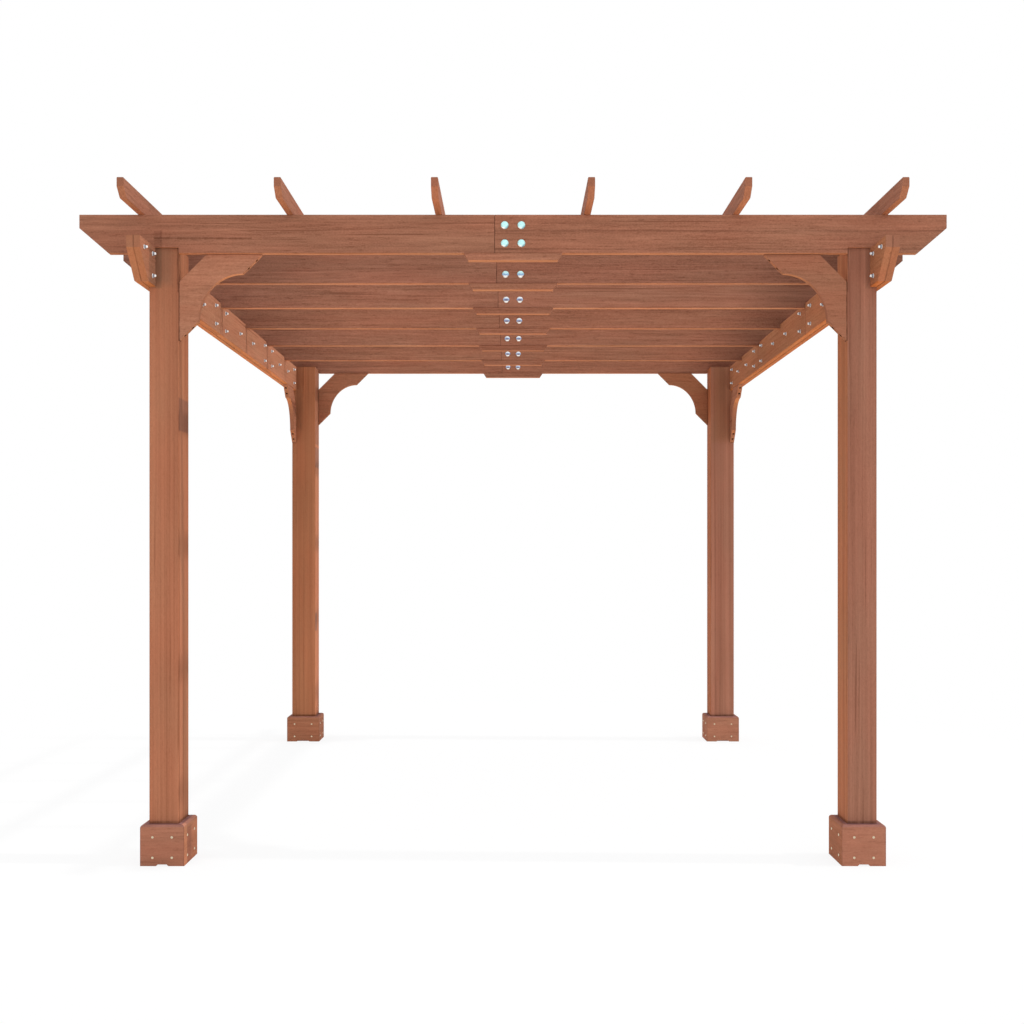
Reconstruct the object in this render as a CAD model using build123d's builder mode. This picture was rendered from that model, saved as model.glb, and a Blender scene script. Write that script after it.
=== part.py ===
"""Timber pergola: four posts, two doubled side beams, seven spliced rafters and six battens.

X runs across the pergola, Y from its front to its rear, Z up. The origin is on the ground,
in the middle of the plan. All sizes are in millimetres.
"""

import os

from build123d import *

# Plan, measured over the outside faces of the posts
span_across = 2620.0
span_along = 3148.0

# Posts: the front pair is narrower across than the rear pair
front_post_width = 107.0
rear_post_width = 138.0
post_depth = 141.0
post_rounding = 4.5

# Side beams: two layers of board, the inner one let into the posts
beam_underside = 2079.0
beam_depth = 140.0
beam_board = 24.5
beam_overhang = 195.0
beam_nose = 42.0
beam_slant = 98.0
inner_joint_reach = 547.0
butt_gap = 1.0

# Rafters: two half-lapped boards each, notched over the beams and the posts
rafter_count = 7
rafter_overhang = 248.0
rafter_depth = 140.0
rafter_thickness = 25.0
rafter_nose = 49.0
rafter_slant = 106.0
rafter_notch = 22.0
rafter_reveal = 10.0
notch_clearance = 1.0
lap_reach = 67.0
lap_gap = 0.6

# Splice cleats under the laps
cleat_length = 354.0
cleat_depth = 24.5
cleat_thickness = 36.0
cleat_end_slope = 16.0

# Battens on top of the rafters
batten_count = 6
batten_outset = 27.0
batten_overhang = 255.0
batten_depth = 64.0
batten_thickness = 24.0
batten_nose = 31.0
batten_slant = 38.0

# Braces: a board with a hollow between two 45 degree toes, a little taller than it is long
brace_reach = 299.0
brace_drop = 312.0
brace_toe = 70.0
brace_corner_cut = 101.0
brace_thickness = 24.0

# Base trim: four mitred boards round each post
trim_height = 147.0
trim_thickness = 25.5
trim_rounding = 11.0
trim_mitre_gap = 0.3
drain_height = 5.8
drain_margin = 57.0

# Eased long edges of the boards
eased_edge = 2.0

# Levels and faces that follow from the sizes above
half_across = span_across / 2
half_along = span_along / 2
beam_top = beam_underside + beam_depth
post_height = beam_top
beam_inner_face = half_across - beam_board
beam_outer_face = half_across + beam_board
beam_reach = half_along + beam_overhang
rafter_reach = half_across + rafter_overhang
batten_reach = half_along + batten_overhang
rafter_underside = beam_top - rafter_notch
rafter_top = rafter_underside + rafter_depth
rafter_end_y = half_along + rafter_reveal - rafter_thickness / 2
rafter_pitch = 2 * rafter_end_y / (rafter_count - 1)
batten_top = rafter_top + batten_depth
batten_spread = span_across + 2 * batten_outset
batten_pitch = batten_spread / (batten_count - 1)

LEFT, RIGHT = -1, 1
FRONT, REAR = -1, 1
side_names = {LEFT: "left", RIGHT: "right"}
end_names = {FRONT: "front", REAR: "rear"}
post_widths = {FRONT: front_post_width, REAR: rear_post_width}


def save(piece, name):
    """Label a finished sub-part and write it as one STEP file."""
    piece.part.label = name
    export_step(piece.part, f"parts/{name}.step")


def tailed_outline(reach, underside, top, nose, slant):
    """A long board seen from its side: an upright nose, then a slant cut back below it."""
    Polygon(
        (-reach, top),
        (reach, top),
        (reach, top - nose),
        (reach - slant, underside),
        (slant - reach, underside),
        (-reach, top - nose),
        align=None,
    )


def ease_long_edges(piece, along):
    """Chamfer the top and bottom edges that run the length of a board."""
    levels = piece.edges().filter_by(along).group_by(Axis.Z)
    chamfer(levels[0] + levels[-1], length=eased_edge)


def make_post(side, end):
    """A square-cut post with rounded corners, housed at the top for the inner beam board."""
    width = post_widths[end]
    center_y = end * (half_along - post_depth / 2)
    with BuildPart() as post:
        with BuildSketch():
            with Locations((side * (half_across - width / 2), center_y)):
                RectangleRounded(width, post_depth, post_rounding)
        extrude(amount=post_height)
        with BuildSketch(Plane.XY.offset(beam_underside)):
            with Locations((side * (half_across - beam_board / 2), center_y)):
                Rectangle(beam_board, post_depth)
        extrude(amount=beam_depth, mode=Mode.SUBTRACT)
    return post


def make_base_trim(side, end, outward_pair):
    """Two opposite mitred boards of the trim round a post, rounded on top.

    The boards across the post's front and rear are also cut away below, as a drain.
    """
    width = post_widths[end]
    center = Vector(side * (half_across - width / 2), end * (half_along - post_depth / 2), 0)
    with BuildPart() as trim:
        for outward in outward_pair:
            along = outward.cross(Vector(0, 0, 1))
            to_face = abs(outward.X) * width / 2 + abs(outward.Y) * post_depth / 2
            face_half = abs(outward.X) * post_depth / 2 + abs(outward.Y) * width / 2
            inner_half = face_half - trim_mitre_gap
            outer_half = inner_half + trim_thickness
            foot = center + outward * to_face
            with BuildSketch(Plane(foot, x_dir=along, z_dir=(0, 0, 1))):
                Polygon(
                    (-inner_half, 0),
                    (-outer_half, trim_thickness),
                    (outer_half, trim_thickness),
                    (inner_half, 0),
                    align=None,
                )
            extrude(amount=trim_height)
            top_edges = trim.edges().filter_by(Axis((0, 0, 0), along)).group_by(Axis.Z)[-1]
            fillet(top_edges.sort_by(Axis((0, 0, 0), outward))[-1], radius=trim_rounding)
            if outward.Y:
                drain_half = face_half + trim_thickness - drain_margin
                with BuildSketch(Plane(foot, x_dir=-along, z_dir=outward)):
                    Polygon(
                        (-drain_half, 0),
                        (drain_height - drain_half, drain_height),
                        (drain_half - drain_height, drain_height),
                        (drain_half, 0),
                        align=None,
                    )
                extrude(amount=trim_thickness, mode=Mode.SUBTRACT)
    return trim


def make_beam_layer(inner_face, side, joints):
    """One layer of a side beam: boards in line, butted with a fine gap at each joint."""
    with BuildPart() as layer:
        with BuildSketch(Plane.YZ.offset(side * inner_face)):
            tailed_outline(beam_reach, beam_underside, beam_top, beam_nose, beam_slant)
        extrude(amount=side * beam_board)
        ease_long_edges(layer, Axis.Y)
        for joint in joints:
            with BuildSketch(Plane.XZ.offset(-joint)):
                with Locations((side * (inner_face + beam_board / 2), beam_underside)):
                    Rectangle(beam_board, beam_depth, align=(Align.CENTER, Align.MIN))
            extrude(amount=butt_gap / 2, both=True, mode=Mode.SUBTRACT)
    return layer


def make_rafter_half(index, side):
    """Half a rafter: notched over the beam, and stepped to half thickness where it laps."""
    center_y = -rafter_end_y + index * rafter_pitch
    notch_inner = beam_inner_face
    if index == 0:
        notch_inner = half_across - front_post_width
    if index == rafter_count - 1:
        notch_inner = half_across - rear_post_width
    notch_low = notch_inner - notch_clearance
    notch_high = beam_outer_face + notch_clearance
    with BuildPart() as half:
        with BuildSketch(Plane.XZ.offset(-center_y)):
            tailed_outline(rafter_reach, rafter_underside, rafter_top, rafter_nose, rafter_slant)
        extrude(amount=rafter_thickness / 2, both=True)
        ease_long_edges(half, Axis.X)
        with BuildSketch(Plane.XZ.offset(-center_y)):
            with Locations((side * (notch_low + notch_high) / 2, rafter_underside)):
                Rectangle(
                    notch_high - notch_low, rafter_notch, align=(Align.CENTER, Align.MIN)
                )
        extrude(amount=rafter_thickness / 2, both=True, mode=Mode.SUBTRACT)
        # The left half keeps the rear of the lap and the right half its front
        with BuildSketch(Plane.XY.offset(rafter_underside)):
            shoulder = lap_reach + lap_gap / 2
            tip = lap_reach - lap_gap / 2
            lapped_face = center_y + side * rafter_thickness / 2
            kept_face = center_y - side * rafter_thickness / 2
            Polygon(
                (side * shoulder, lapped_face),
                (side * shoulder, center_y),
                (-side * tip, center_y),
                (-side * tip, kept_face),
                (-side * rafter_reach, kept_face),
                (-side * rafter_reach, lapped_face),
                align=None,
            )
        extrude(amount=rafter_depth, mode=Mode.SUBTRACT)
    return half


def make_cleats():
    """The short cleats that carry the laps, one under the middle of each rafter."""
    with BuildPart() as cleats:
        for index in range(rafter_count):
            center_y = -rafter_end_y + index * rafter_pitch
            with BuildSketch(Plane.XZ.offset(-center_y)):
                Polygon(
                    (-cleat_length / 2, rafter_underside),
                    (cleat_length / 2, rafter_underside),
                    (cleat_length / 2 - cleat_end_slope, rafter_underside - cleat_depth),
                    (cleat_end_slope - cleat_length / 2, rafter_underside - cleat_depth),
                    align=None,
                )
            extrude(amount=cleat_thickness / 2, both=True)
    return cleats


def make_batten(index):
    """A batten on edge, from front to rear across the tops of the rafters."""
    center_x = -batten_spread / 2 + index * batten_pitch
    with BuildPart() as batten:
        with BuildSketch(Plane.YZ.offset(center_x)):
            tailed_outline(batten_reach, rafter_top, batten_top, batten_nose, batten_slant)
        extrude(amount=batten_thickness / 2, both=True)
        ease_long_edges(batten, Axis.Y)
    return batten


def make_brace(corner, away):
    """A corner brace, from the corner of post and beam towards the middle of the bay."""
    hollow_across = brace_reach - brace_toe
    hollow_below = brace_drop - brace_toe
    with BuildPart() as brace:
        with BuildSketch(Plane(corner, x_dir=away, z_dir=away.cross(Vector(0, 0, 1)))):
            with BuildLine():
                Polyline(
                    (brace_toe, -hollow_below),
                    (0, -brace_drop),
                    (0, -brace_corner_cut),
                    (brace_corner_cut, 0),
                    (brace_reach, 0),
                    (hollow_across, -brace_toe),
                )
                EllipticalCenterArc(
                    center=(hollow_across, -hollow_below),
                    x_radius=hollow_across - brace_toe,
                    y_radius=hollow_below - brace_toe,
                    start_angle=90,
                    arc_size=90,
                )
            make_face()
        extrude(amount=brace_thickness / 2, both=True)
    return brace


os.makedirs("parts", exist_ok=True)

for side, side_name in side_names.items():
    for end, end_name in end_names.items():
        save(make_post(side, end), f"post_{end_name}_{side_name}")
        facing_along = (Vector(0, -1, 0), Vector(0, 1, 0))
        facing_across = (Vector(-1, 0, 0), Vector(1, 0, 0))
        trim_name = f"base_trim_{end_name}_{side_name}"
        save(make_base_trim(side, end, facing_along), f"{trim_name}_faces")
        save(make_base_trim(side, end, facing_across), f"{trim_name}_sides")

        # Under the end rafter, flush with the post's outer face
        post_inner_x = side * (half_across - post_widths[end])
        brace_y = end * (half_along - brace_thickness / 2)
        across_corner = Vector(post_inner_x, brace_y, rafter_underside)
        save(make_brace(across_corner, Vector(-side, 0, 0)), f"brace_{end_name}_{side_name}")

        # Under the inner beam board, flush with the post's outer side
        post_inner_y = end * (half_along - post_depth)
        brace_x = side * (half_across - brace_thickness / 2)
        along_corner = Vector(brace_x, post_inner_y, beam_underside)
        save(make_brace(along_corner, Vector(0, -end, 0)), f"brace_{side_name}_{end_name}")

    inner_joints = (-inner_joint_reach, inner_joint_reach)
    save(make_beam_layer(beam_inner_face, side, inner_joints), f"beam_{side_name}_inner")
    save(make_beam_layer(half_across, side, (0,)), f"beam_{side_name}_outer")

    for index in range(rafter_count):
        save(make_rafter_half(index, side), f"rafter_{index + 1}_{side_name}")

save(make_cleats(), "splice_cleats")

for index in range(batten_count):
    save(make_batten(index), f"batten_{index + 1}")
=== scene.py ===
"""Timber pergola: stain, sawn grain and hardware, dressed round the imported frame.

Metres, with X across, Y from front to rear and Z up. The boards keep the frame's own
shape. Added here are the bolts with their nuts and washers, the screws of the base trim,
and the screw holes of the braces, which are cut into copies of the boards.
"""

import math

import bpy
import numpy as np
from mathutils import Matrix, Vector


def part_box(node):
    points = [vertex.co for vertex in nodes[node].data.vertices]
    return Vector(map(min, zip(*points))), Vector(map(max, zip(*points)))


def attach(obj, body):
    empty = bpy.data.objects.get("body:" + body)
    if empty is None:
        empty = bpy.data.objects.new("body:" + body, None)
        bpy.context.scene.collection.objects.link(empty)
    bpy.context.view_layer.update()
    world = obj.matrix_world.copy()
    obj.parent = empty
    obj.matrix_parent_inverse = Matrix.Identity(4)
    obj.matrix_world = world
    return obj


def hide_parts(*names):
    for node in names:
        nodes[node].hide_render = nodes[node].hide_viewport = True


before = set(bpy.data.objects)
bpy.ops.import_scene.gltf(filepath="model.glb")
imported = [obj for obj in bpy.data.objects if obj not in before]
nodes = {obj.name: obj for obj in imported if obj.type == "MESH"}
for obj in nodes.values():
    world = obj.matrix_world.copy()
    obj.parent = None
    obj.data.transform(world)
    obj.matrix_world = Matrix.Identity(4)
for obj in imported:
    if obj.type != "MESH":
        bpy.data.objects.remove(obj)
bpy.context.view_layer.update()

SIDES = {"left": -1, "right": 1}
ENDS = {"front": -1, "rear": 1}
UP = np.array((0.0, 0.0, 1.0))

# Camera: on the middle line, level, with the horizon a little below the picture's middle
eye = (0.0, -6.218, 1.132)
sensor_mm = 36.0
lens_mm = 45.35
picture_shift = (-0.0010, 0.0371)
view_end = 200.0

# Bolts through the rafter laps
lap_bolt_x = 0.030
lap_bolt_drops = (0.038, 0.103)

# Bolts through the side beams: place along the beam, and drops below the beam's top
beam_bolts = (
    (1.722, (0.030,)),
    (1.617, (0.030, 0.109)),
    (1.341, (0.030, 0.109)),
    (1.130, (0.069,)),
    (0.870, (0.069,)),
    (0.645, (0.030, 0.109)),
    (0.449, (0.030, 0.109)),
    (0.145, (0.069,)),
)

# Butt joints of the inner beam boards, as far as this to the front and the rear
beam_joint = 0.547

# The base trim's tops are darker this far out from the post
trim_top_dark_reach = 0.014

# Screws of the base trim: in from each end of a board, and heights above the ground
trim_screw_inset = 0.044
trim_screw_heights = (0.030, 0.103)

# Screw holes in the brace toes. The pegs that cut them stand out of the wood by an overlength,
# and the screw heads sit a little above the bottom
brace_toe = 0.070
hole_spacing = 0.040
hole_radius = 0.0055
hole_depth = 0.016
peg_overlength = 0.004
head_seat = 0.0005
bore_slack = 0.0002

# Added pieces are smooth up to this angle between two faces
crease_angle = math.radians(32)


# Surfaces

def new_object(name, data):
    """A new object in the scene."""
    made = bpy.data.objects.new(name, data)
    bpy.context.scene.collection.objects.link(made)
    return made


def make_piece(name, points, quads, caps, material, slot="hardware_metal"):
    """A mesh object from whole arrays: points, four-cornered faces, and end caps of many corners.

    points is (n, 3), quads is (k, 4) and caps is (m, c), all of them joined into one mesh.
    """
    mesh = bpy.data.meshes.new(name)
    corners = np.concatenate([quads.ravel(), caps.ravel()])
    starts = np.concatenate([
        np.arange(len(quads)) * 4,
        len(quads) * 4 + np.arange(len(caps)) * caps.shape[1],
    ])
    mesh.vertices.add(len(points))
    mesh.loops.add(len(corners))
    mesh.polygons.add(len(starts))
    mesh.vertices.foreach_set("co", points.astype(np.float32).ravel())
    mesh.loops.foreach_set("vertex_index", corners.astype(np.int32))
    mesh.polygons.foreach_set("loop_start", starts.astype(np.int32))
    mesh.update(calc_edges=True)
    mesh.validate()
    mesh.polygons.foreach_set("use_smooth", np.ones(len(starts), dtype=bool))
    mesh.set_sharp_from_angle(angle=crease_angle)
    mesh.materials.append(material)
    piece = new_object(name, mesh)
    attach(piece, "root")
    return piece


def turned(rows, sides):
    """A turned head or nut, standing on the XY plane: a closed surface of row and angle.

    Each row is (radius, height, half across flats). The radius at an angle is the smaller of
    the row's radius and the distance to a hexagon's flat, which is the half across flats over
    the cosine of the angle from the middle of that flat. A half across flats of 0 is round.
    """
    rows = np.array(rows, dtype=float)
    angle = np.linspace(0.0, 2 * np.pi, sides, endpoint=False)
    to_flat = np.mod(angle, np.pi / 3) - np.pi / 6
    flats = np.where(rows[:, 2] > 0, rows[:, 2], 1e3)[:, None] / np.cos(to_flat)[None, :]
    radius = np.minimum(rows[:, 0][:, None], flats)
    height = np.broadcast_to(rows[:, 1][:, None], radius.shape)
    points = np.stack([radius * np.cos(angle), radius * np.sin(angle), height], axis=-1)
    row, column = np.meshgrid(np.arange(len(rows) - 1), np.arange(sides), indexing="ij")
    following = (column + 1) % sides
    quads = np.stack([
        row * sides + column,
        row * sides + following,
        (row + 1) * sides + following,
        (row + 1) * sides + column,
    ], axis=-1).reshape(-1, 4)
    ring = np.arange(sides)
    caps = np.stack([ring[::-1], ring + (len(rows) - 1) * sides])
    return points.reshape(-1, 3), quads, caps


def set_out(form, places, directions):
    """Copies of one form, each moved to its place with its Z axis turned to a direction.

    A copy's point is its place plus the form's X, Y and Z along three axes square to each
    other, the third of them the direction.
    """
    points, quads, caps = form
    places = np.array(places, dtype=float).reshape(-1, 3)
    third = np.broadcast_to(np.array(directions, dtype=float), places.shape)
    third = third / np.linalg.norm(third, axis=1, keepdims=True)
    helper = np.where(np.abs(third[:, 2:3]) > 0.9, np.array((1.0, 0.0, 0.0)), UP)
    first = np.cross(helper, third)
    first = first / np.linalg.norm(first, axis=1, keepdims=True)
    second = np.cross(third, first)
    axes = np.stack([first, second, third], axis=1)
    moved = places[:, None, :] + np.einsum("pa,kab->kpb", points, axes)
    shift = (np.arange(len(places)) * len(points))[:, None, None]
    return (
        moved.reshape(-1, 3),
        (quads[None] + shift).reshape(-1, 4),
        (caps[None] + shift).reshape(-1, caps.shape[1]),
    )


def make_row(name, form, places, directions, material):
    """One piece of many copies of a form."""
    return make_piece(name, *set_out(form, places, directions), material)


# Shader nodes

WHITE = (1.0, 1.0, 1.0, 1.0)

# The distance after which a wave texture of scale 1 repeats
WAVE_PERIOD = 0.31416


def add(tree, kind, inputs=None, **settings):
    """One shader node, with its settings made and its inputs given a value or linked."""
    node = tree.nodes.new("ShaderNode" + kind)
    for setting, value in settings.items():
        setattr(node, setting, value)
    for key, value in (inputs or {}).items():
        if isinstance(value, bpy.types.NodeSocket):
            tree.links.new(value, node.inputs[key])
        else:
            node.inputs[key].default_value = value
    return node


def reckon(tree, operation, *values, clamp=False):
    """A Math node's result."""
    made = add(tree, "Math", dict(enumerate(values)), operation=operation, use_clamp=clamp)
    return made.outputs[0]


def reckon_vector(tree, operation, *values):
    """A Vector Math node's result."""
    made = add(tree, "VectorMath", dict(enumerate(values)), operation=operation)
    return made.outputs["Vector"]


def stretch(tree, vector, scales):
    """A vector multiplied by a scale for each axis."""
    return reckon_vector(tree, "MULTIPLY", vector, scales)


def dot(tree, vector, axis):
    """How far a vector reaches along an axis."""
    made = add(tree, "VectorMath", {0: vector, 1: axis}, operation="DOT_PRODUCT")
    return made.outputs["Value"]


def split(tree, vector):
    """A vector's parts along X, Y and Z."""
    return add(tree, "SeparateXYZ", {0: vector}).outputs


def mix(tree, factor, low, high):
    """A colour between two others."""
    made = add(tree, "Mix", {0: factor, 6: low, 7: high}, data_type="RGBA")
    return made.outputs[2]


def tinted(tree, factor, color, tint):
    """A colour multiplied by a tint, as far as the factor says."""
    made = mix(tree, factor, color, tint)
    made.node.blend_type = "MULTIPLY"
    return made


def noise(tree, vector, scales, detail=2.0, roughness=0.5, output="Fac"):
    """Soft noise from 0 to 1 with its own scale on each axis."""
    made = add(tree, "TexNoise", {
        "Vector": stretch(tree, vector, scales),
        "Scale": 1.0,
        "Detail": detail,
        "Roughness": roughness,
    })
    return made.outputs[output]


def new_group(name, inputs, outputs):
    """An empty shader node group: inputs by name with their values, outputs by kind.

    An input of one number is a float, of four a colour, and of three or none a vector.
    """
    tree = bpy.data.node_groups.new(name, "ShaderNodeTree")
    for label, value in inputs.items():
        count = 0 if value is None else np.size(value)
        kind = {1: "Float", 4: "Color"}.get(count, "Vector")
        socket = tree.interface.new_socket(
            label, in_out="INPUT", socket_type="NodeSocket" + kind
        )
        if value is not None:
            socket.default_value = value
    for kind, labels in outputs.items():
        for label in labels:
            tree.interface.new_socket(label, in_out="OUTPUT", socket_type="NodeSocket" + kind)
    given = tree.nodes.new("NodeGroupInput").outputs
    return tree, given, tree.nodes.new("NodeGroupOutput").inputs


def drawn_out(tree, length, width):
    """Scales of noise drawn out along X: one over the length, and twice one over the width."""
    along = reckon(tree, "DIVIDE", 1.0, length)
    across = reckon(tree, "DIVIDE", 1.0, width)
    return add(tree, "CombineXYZ", {0: along, 1: across, 2: across}).outputs[0]


def span(tree, value, low, high, start=0.0, end=1.0):
    """A value spread from one range to another, and held at its ends."""
    made = add(tree, "MapRange", {
        "Value": value, "From Min": low, "From Max": high, "To Min": start, "To Max": end,
    })
    return made.outputs["Result"]


def make_sawn_grain():
    """Grain of a sawn board whose length runs along X: all of it is noise drawn out along X.

    Rings are bands by the distance from a heart line that wavers along the board, so flat
    faces show long arches. Streaks and fibres are broad and fine bands of the stain, pores
    are short dark dashes, checks are a few long thin dark lines, and speckle is the fuzz
    that the saw leaves.
    """
    tree, given, out = new_group(
        "sawn grain",
        {"Vector": None, "Ring Width": 0.012, "Waver": 1.0, "Streak Width": 0.010,
         "Streak Length": 0.5, "Fibre Width": 0.0045, "Fibre Length": 0.12},
        {"Float": ("Rings", "Streaks", "Fibres", "Pores", "Checks", "Speckle", "Blotches", "Hue")},
    )
    vector = given["Vector"]
    waver = noise(tree, vector, (1.7, 5.0, 5.0), output="Color")
    sway = reckon_vector(tree, "SUBTRACT", waver, (0.5, 0.5, 0.5))
    sway = stretch(tree, sway, (0.0, 0.075, 0.075))
    sway = add(tree, "VectorMath", {0: sway, "Scale": given["Waver"]}, operation="SCALE")
    straight = stretch(tree, vector, (0.02, 1.0, 1.0))
    heart = reckon_vector(tree, "ADD", straight, sway.outputs["Vector"])
    band_scale = reckon(tree, "DIVIDE", WAVE_PERIOD, given["Ring Width"])
    rings = add(tree, "TexWave", {
        "Vector": heart, "Scale": band_scale, "Distortion": given["Waver"], "Detail": 2.0,
        "Detail Scale": 1.5,
    }, wave_type="RINGS", rings_direction="X", wave_profile="SAW").outputs["Fac"]
    fade = span(tree, noise(tree, vector, (1.1, 9.0, 9.0)), 0.32, 0.66, 0.25, 1.0)
    rings = reckon(tree, "MULTIPLY", reckon(tree, "SUBTRACT", rings, 0.5), fade)
    tree.links.new(reckon(tree, "ADD", rings, 0.5), out["Rings"])

    for label, length, width, detail in (
        ("Streaks", given["Streak Length"], given["Streak Width"], 1.5),
        ("Fibres", given["Fibre Length"], given["Fibre Width"], 1.0),
    ):
        bands = noise(tree, vector, drawn_out(tree, length, width), detail, 0.55)
        tree.links.new(bands, out[label])
    tree.links.new(noise(tree, vector, (150.0, 260.0, 260.0), 1.0), out["Speckle"])
    pores = span(tree, noise(tree, vector, (34.0, 230.0, 230.0), 0.0), 0.64, 0.76)
    tree.links.new(pores, out["Pores"])
    checks = span(tree, noise(tree, vector, (1.5, 130.0, 130.0), 0.0), 0.73, 0.80)
    tree.links.new(checks, out["Checks"])
    tree.links.new(noise(tree, vector, (1.9, 8.0, 8.0), 3.0), out["Blotches"])
    aside = reckon_vector(tree, "ADD", vector, (5.3, 2.1, 3.7))
    tree.links.new(noise(tree, aside, (2.3, 14.0, 14.0), 2.0), out["Hue"])
    return tree


AMOUNTS = (
    "Ring Amount", "Streak Amount", "Fibre Amount", "Speckle Amount", "Blotch Amount",
    "Pore Amount",
)


def make_stain_coat():
    """Stain over grain: the colour between a pale and a dark tone, with roughness and height.

    The factor is a half plus each mask less a half, times its amount, less the pores and the
    checks, and varies less on cut ends. Cut ends soak up more stain, faces that look down take a
    painted warm bounce light, and seams between boards are darker, as dark joints and as painted
    contact shade where a brace meets its post.
    """
    tree, given, out = new_group(
        "stain coat",
        {"Rings": 0.5, "Streaks": 0.5, "Fibres": 0.5, "Pores": 0.0, "Checks": 0.0, "Speckle": 0.5,
         "Blotches": 0.5, "Hue": 0.5, "Cut End": 0.0, "Bounce Lit": 0.0, "Seams": 0.0,
         **dict.fromkeys(AMOUNTS, 0.5), "Underside Light": (1.38, 1.22, 0.88, 1.0),
         "Pale": (0.4, 0.16, 0.09, 1.0), "Dark": (0.27, 0.1, 0.05, 1.0)},
        {"Color": ("Color",), "Float": ("Roughness", "Height")},
    )
    total = 0.0
    for mask, amount in zip(("Rings", "Streaks", "Fibres", "Speckle", "Blotches"), AMOUNTS):
        centered = reckon(tree, "SUBTRACT", given[mask], 0.5)
        total = reckon(tree, "MULTIPLY_ADD", centered, given[amount], total)
    pores = reckon(tree, "MULTIPLY", given["Pores"], given["Pore Amount"])
    total = reckon(tree, "SUBTRACT", total, pores)
    total = reckon(tree, "MULTIPLY_ADD", given["Checks"], -0.5, total)
    plainer = reckon(tree, "MULTIPLY_ADD", given["Cut End"], -0.65, 1.0)
    total = reckon(tree, "MULTIPLY_ADD", total, plainer, 0.5, clamp=True)
    color = mix(tree, total, given["Dark"], given["Pale"])
    hue = span(tree, given["Hue"], 0.35, 0.65)
    warm, cool = (1.03, 0.985, 0.98, 1.0), (0.97, 1.015, 1.02, 1.0)
    soaked, seam_dark = (0.92, 0.90, 0.88, 1.0), (0.30, 0.27, 0.28, 1.0)
    # Tints in turn: a random hue, stain soaked into cut ends, painted warm bounce light on faces
    # that look down, and the darker seams
    for factor, tint in ((1.0, mix(tree, hue, warm, cool)), (given["Cut End"], soaked),
                         (given["Bounce Lit"], given["Underside Light"]), (given["Seams"], seam_dark)):
        color = tinted(tree, factor, color, tint)
    tree.links.new(color, out["Color"])
    dull = reckon(tree, "MULTIPLY_ADD", total, -0.16, 0.74)
    tree.links.new(reckon(tree, "MULTIPLY_ADD", given["Cut End"], 0.15, dull), out["Roughness"])
    height = reckon(tree, "MULTIPLY_ADD", given["Fibres"], 0.5, total)
    tree.links.new(reckon(tree, "MULTIPLY_ADD", given["Seams"], -0.8, height), out["Height"])
    return tree


def make_seam():
    """A thin dark line where a board meets the next one: 1 on a plane, fading over a width.

    The distance is the dot product of the place and an axis, less the plane's own place. Noise
    along the line makes it break up.
    """
    tree, given, out = new_group(
        "seam",
        {"Vector": None, "Axis": (1.0, 0.0, 0.0), "Plane": 0.0, "Width": 0.003, "Strength": 1.0},
        {"Float": ("Seam",)},
    )
    along = dot(tree, given["Vector"], given["Axis"])
    away = reckon(tree, "SUBTRACT", along, given["Plane"])
    away = reckon(tree, "DIVIDE", reckon(tree, "ABSOLUTE", away), given["Width"])
    line = span(tree, away, 0.35, 1.0, 1.0, 0.0)
    broken = span(tree, noise(tree, given["Vector"], (45.0, 45.0, 45.0), 1.0), 0.3, 0.6, 0.55, 1.0)
    line = reckon(tree, "MULTIPLY", line, broken)
    tree.links.new(reckon(tree, "MULTIPLY", line, given["Strength"]), out["Seam"])
    return tree


def make_patch():
    """A box in space that marks the faces inside it that look along an axis.

    The distance outside the box is the largest of the three axes' distances from the middle,
    each less half the box's size. Noise makes the edge ragged, and the mask fades from 1 to 0
    over the softness. The dot product of the normal and the axis is spread over 0.5 to 0.9,
    so a longer axis takes in more of a rounded edge.
    """
    tree, given, out = new_group(
        "patch",
        {"Vector": None, "Normal": None, "Axis": (0.0, 0.0, 1.0), "Middle": (0.0, 0.0, 0.0),
         "Half Size": (1.0, 1.0, 1.0), "Softness": 0.006},
        {"Float": ("Mask",)},
    )
    away = reckon_vector(tree, "SUBTRACT", given["Vector"], given["Middle"])
    away = reckon_vector(tree, "ABSOLUTE", away)
    x, y, z = split(tree, reckon_vector(tree, "SUBTRACT", away, given["Half Size"]))
    outside = reckon(tree, "MAXIMUM", reckon(tree, "MAXIMUM", x, y), z)
    ragged = noise(tree, given["Vector"], (70.0, 70.0, 30.0), 2.0)
    edge = reckon(tree, "MULTIPLY_ADD", ragged, 0.006, outside)
    inside = span(tree, edge, 0.0, given["Softness"], 1.0, 0.0)
    facing = span(tree, dot(tree, given["Normal"], given["Axis"]), 0.5, 0.9)
    mask = reckon(tree, "MULTIPLY", inside, facing)
    tree.links.new(mask, out["Mask"])
    return tree


def make_face_masks():
    """Masks by the way a face looks: cut ends look along the grain, and faces that look down
    take a painted warm bounce light.

    Each is the dot product of the face's normal and a direction, spread over 0 to 1. For cut
    ends the sign is dropped, and slanted cut ends take little of the painted bounce light.
    """
    tree, given, out = new_group(
        "face masks", {"Normal": None, "Grain Axis": (1.0, 0.0, 0.0)},
        {"Float": ("Cut End", "Bounce Lit")},
    )
    along = dot(tree, given["Normal"], given["Grain Axis"])
    cut = span(tree, reckon(tree, "ABSOLUTE", along), 0.45, 0.85)
    down = span(tree, dot(tree, given["Normal"], (0.0, 0.0, -1.0)), 0.15, 0.9)
    tree.links.new(cut, out["Cut End"])
    spared = reckon(tree, "MULTIPLY_ADD", cut, -0.8, 1.0)
    tree.links.new(reckon(tree, "MULTIPLY", down, spared), out["Bounce Lit"])
    return tree


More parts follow.
